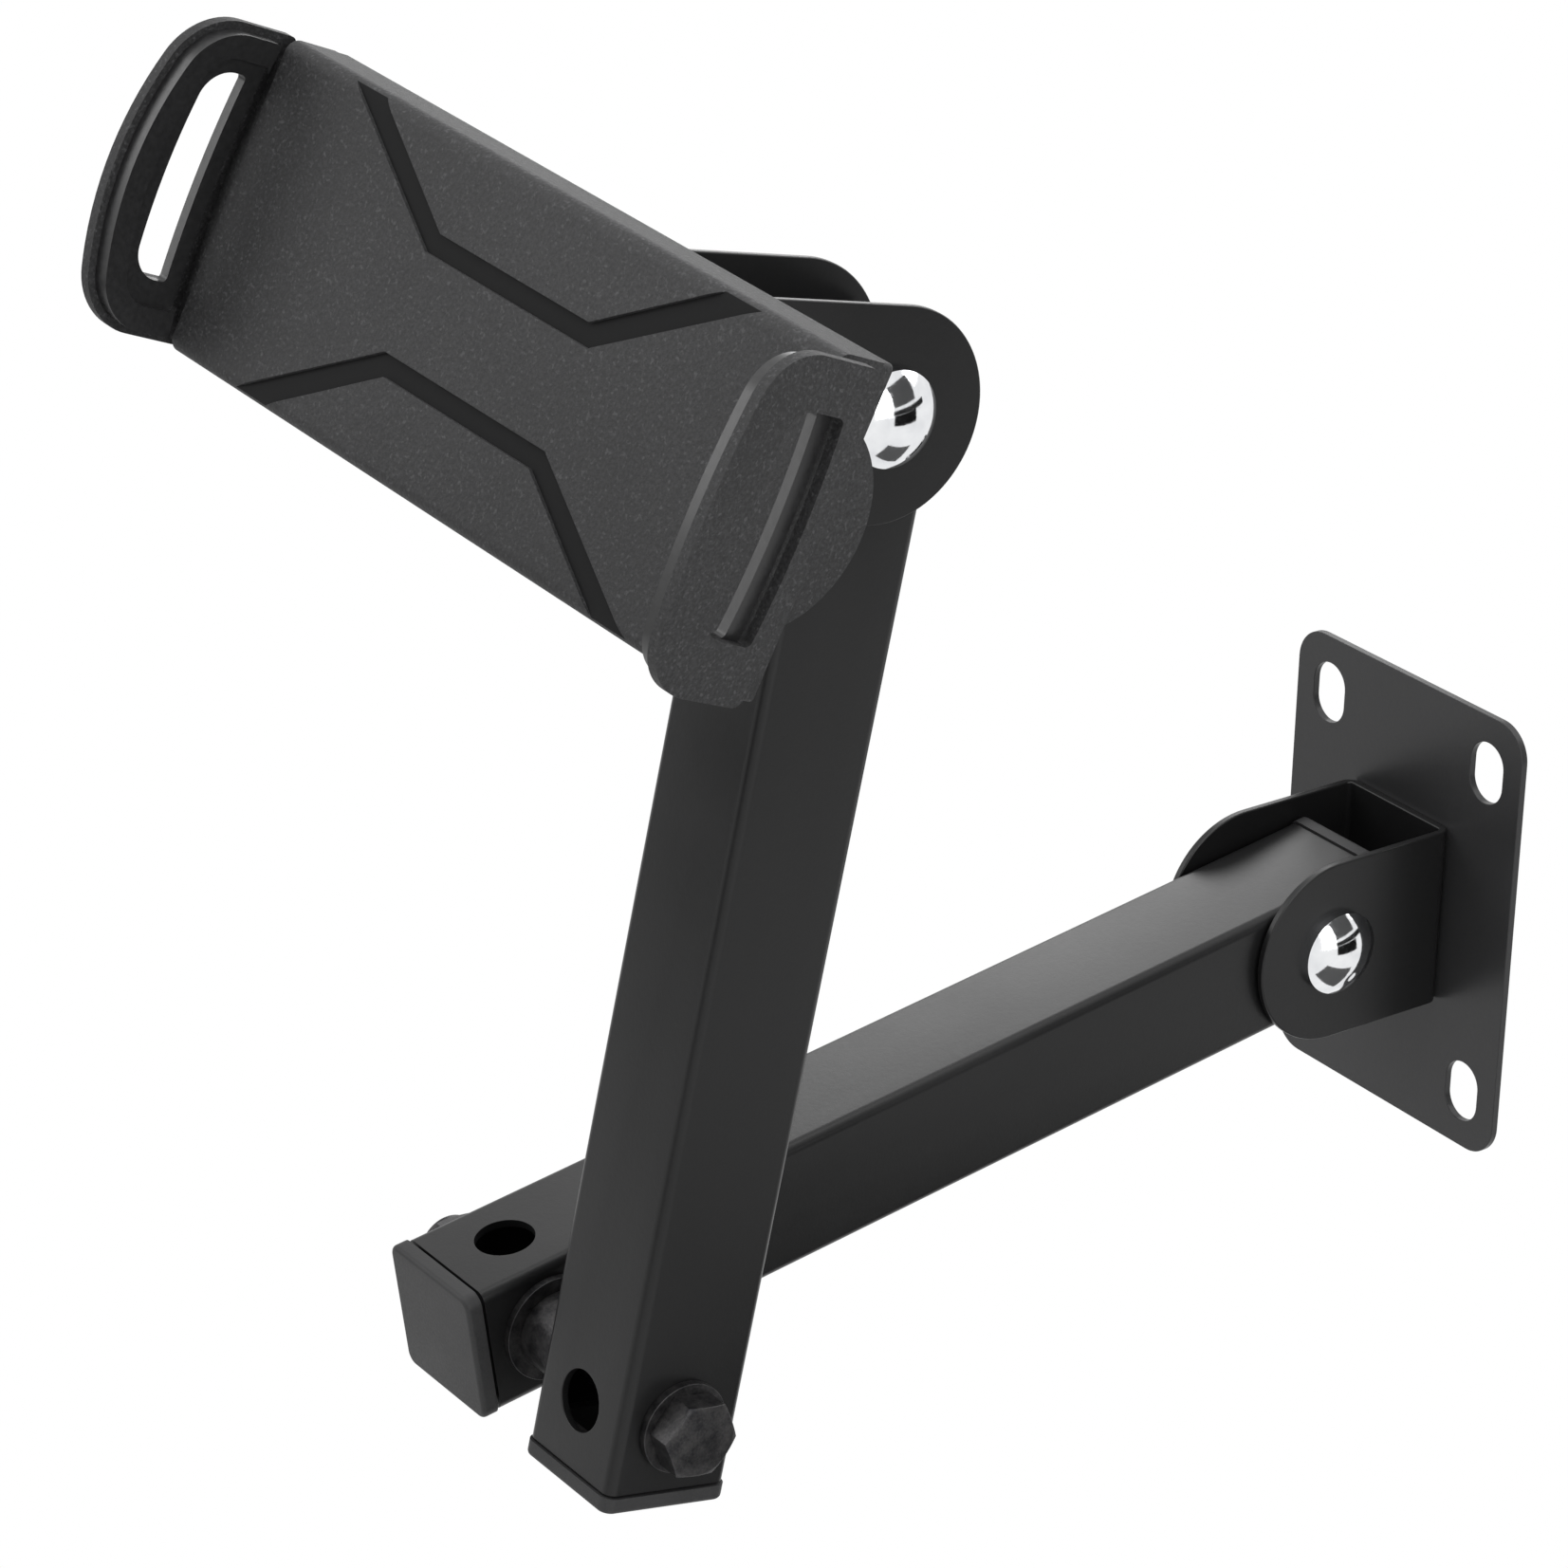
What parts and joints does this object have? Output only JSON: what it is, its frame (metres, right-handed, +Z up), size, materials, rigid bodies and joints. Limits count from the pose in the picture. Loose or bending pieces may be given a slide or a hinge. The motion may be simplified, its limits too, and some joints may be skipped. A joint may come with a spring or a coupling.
{
  "type": "tablet wall mount",
  "caption": "Folding wall mount for a tablet: slotted plate, square-tube arms with an elbow, tilting fork and spring-loaded clamp on a ball joint.",
  "frame": {"origin": "centre of the wall plate's back face", "axes": "+Y into the wall, +Z up, the arms reach out along -Y"},
  "size_m": [0.1536, 0.2704, 0.2545],
  "materials": {
    "painted_steel": "satin black powder coat",
    "chrome": "polished",
    "textured_plastic": "fine grain",
    "cap_plastic": "matt",
    "pad_rubber": "smooth",
    "nylon": "smooth",
    "black_oxide": "black oxide",
    "bright_steel": "zinc plated"
  },
  "bodies": {
    "wall_bracket": {"wall_plate": "painted_steel", "wall_fork": "painted_steel", "wall_pivot_pin": "chrome", "wall_friction_washers": "nylon"},
    "lower_arm": {"lower_tube": "painted_steel", "lower_cap_wall": "cap_plastic", "lower_cap_elbow": "cap_plastic", "elbow_bolt": "black_oxide", "elbow_nut": "black_oxide", "elbow_head_washer": "black_oxide", "elbow_nut_washer": "black_oxide", "elbow_spacer": "black_oxide", "elbow_spacer_washers": "black_oxide"},
    "upper_arm": {"upper_tube": "painted_steel", "upper_cap_elbow": "cap_plastic", "upper_cap_head": "cap_plastic"},
    "head_bracket": {"head_fork": "painted_steel", "head_pivot_pin": "chrome", "head_friction_washers": "nylon", "ball_stud": "bright_steel", "stud_ball": "bright_steel", "ball_stud_nut": "bright_steel"},
    "ball_cup": {"ball_pad": "nylon"},
    "ball_clamp": {"lock_ring": "textured_plastic"},
    "holder": {"front_cover": "textured_plastic", "back_shell": "textured_plastic", "fixed_jaw": "textured_plastic", "fixed_jaw_pad": "pad_rubber", "guide_rods": "bright_steel", "jaw_spring": "bright_steel", "shell_screws": "black_oxide"},
    "moving_jaw": {"sliding_jaw": "textured_plastic", "sliding_jaw_pad": "pad_rubber"}
  },
  "joints": [
    {"name": "wall_tilt", "type": "hinge", "parent": "wall_bracket", "child": "lower_arm", "pos_m": [0, -0.0294, 0.0006], "axis": [1, 0, 0], "range_deg": [-70, 70]},
    {"name": "elbow_fold", "type": "hinge", "parent": "lower_arm", "child": "upper_arm", "pos_m": [0, -0.20718, -0.02597], "axis": [-1, 0, 0], "range_deg": [-110, 60]},
    {"name": "head_tilt", "type": "hinge", "parent": "upper_arm", "child": "head_bracket", "pos_m": [0.0402, -0.17022, 0.15091], "axis": [1, 0, 0], "range_deg": [-100, 35]},
    {"name": "ball_nod", "type": "hinge", "parent": "head_bracket", "child": "ball_cup", "pos_m": [0.0402, -0.21407, 0.16104], "axis": [1, 0, 0], "range_deg": [-6, 21.5]},
    {"name": "ball_swing", "type": "hinge", "parent": "ball_cup", "child": "ball_clamp", "pos_m": [0.0402, -0.21407, 0.16104], "axis": [0, 0.4003, 0.9164], "range_deg": [-20.5, 7]},
    {"name": "holder_spin", "type": "hinge", "parent": "ball_clamp", "child": "holder", "pos_m": [0.0402, -0.21407, 0.16104], "axis": [0.1201, -0.9097, 0.3974], "continuous": true},
    {"name": "jaw_slide", "type": "slide", "parent": "holder", "child": "moving_jaw", "axis": [-0.9908, -0.085, 0.1049], "range_m": [0, 0.07], "stiffness_N_per_m": 250, "springref_m": -0.02}
  ]
}
